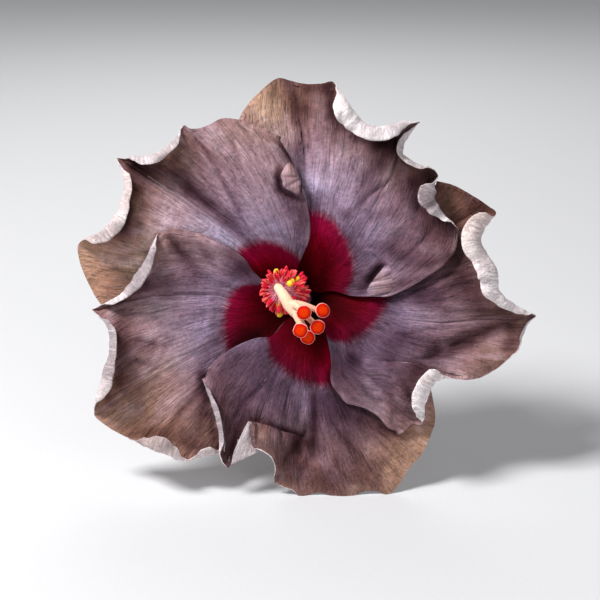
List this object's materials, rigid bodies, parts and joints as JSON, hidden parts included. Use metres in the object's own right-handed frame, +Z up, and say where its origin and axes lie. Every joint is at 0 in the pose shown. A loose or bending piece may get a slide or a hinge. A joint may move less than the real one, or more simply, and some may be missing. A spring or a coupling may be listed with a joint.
{
  "type": "hibiscus flower",
  "caption": "Open ruffled hibiscus flower with overlapping petals, a projecting pistil, a calyx and a bent stalk, leaning at rest on its rim.",
  "frame": {"origin": "middle of the underside of the whole flower as it rests", "axes": "+Z up, +X to the right across the face, -Y toward the side the face looks to"},
  "size_m": [0.1512, 0.1234, 0.1277],
  "materials": {
    "petal": "matte, velvety, crimson at the throat and pale behind",
    "stamens": "matte",
    "style": "satin",
    "stigma": "velvety",
    "green": "satin",
    "stalk": "satin"
  },
  "bodies": {
    "root": {"petal_1": "petal", "petal_2": "petal", "petal_3": "petal", "petal_4": "petal", "petal_5": "petal", "staminal_column": "stamens", "style": "style", "stigma_1": "stigma", "stigma_2": "stigma", "stigma_3": "stigma", "stigma_4": "stigma", "stigma_5": "stigma", "calyx": "green", "epicalyx": "green", "pedicel": "stalk"}
  },
  "joints": []
}
